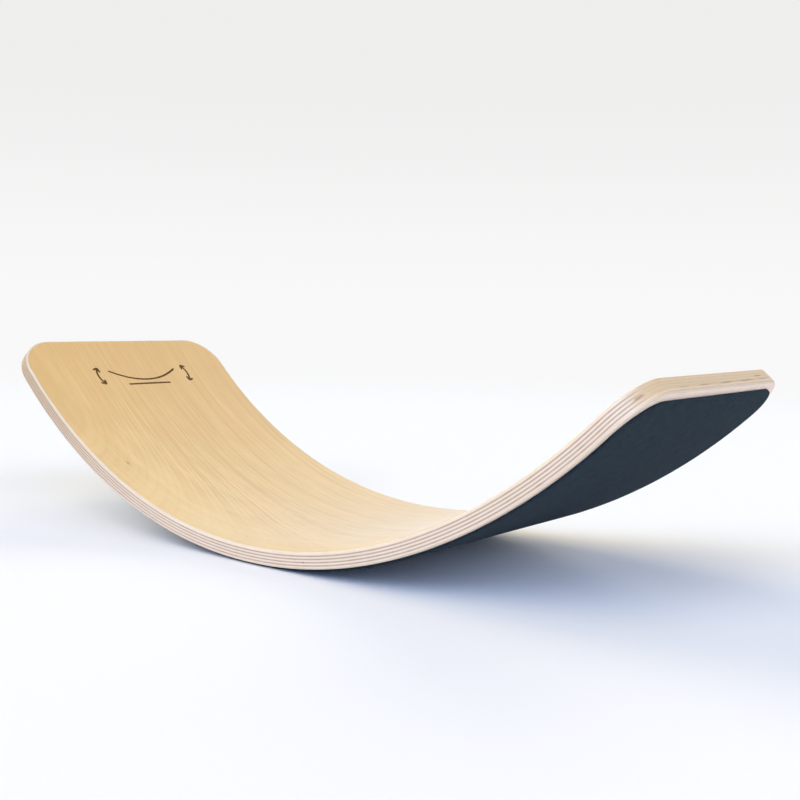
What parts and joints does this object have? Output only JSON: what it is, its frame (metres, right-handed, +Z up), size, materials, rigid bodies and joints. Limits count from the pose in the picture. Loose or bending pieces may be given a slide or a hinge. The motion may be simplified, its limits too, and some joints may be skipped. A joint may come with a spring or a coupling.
{
  "type": "balance board",
  "caption": "Curved wooden balance board: a bent strip of plywood with round corners and a felt underside, to stand, sit or rock on.",
  "frame": {"origin": "on the floor, in the middle of the line that the felt rests on", "axes": "+X along the board, +Y across it, +Z up"},
  "size_m": [0.82, 0.3, 0.2038],
  "materials": {
    "face_veneer": "clear matt lacquer over beech, grain along the board",
    "long_grain_veneer": "sanded beech veneer edge, side grain",
    "cross_grain_veneer": "sanded beech veneer edge, end grain on the long sides",
    "adhesive": "translucent adhesive film",
    "felt": "dense matt wool felt, dark blue-grey"
  },
  "bodies": {
    "root": {"top_face_veneer": "face_veneer", "long_grain_veneer_2": "long_grain_veneer", "cross_grain_veneer_3": "cross_grain_veneer", "long_grain_veneer_4": "long_grain_veneer", "cross_grain_veneer_5": "cross_grain_veneer", "long_grain_veneer_6": "long_grain_veneer", "cross_grain_veneer_7": "cross_grain_veneer", "long_grain_veneer_8": "long_grain_veneer", "cross_grain_veneer_9": "cross_grain_veneer", "long_grain_veneer_10": "long_grain_veneer", "bottom_face_veneer": "face_veneer", "felt_adhesive": "adhesive", "felt_underlay": "felt"}
  },
  "joints": []
}
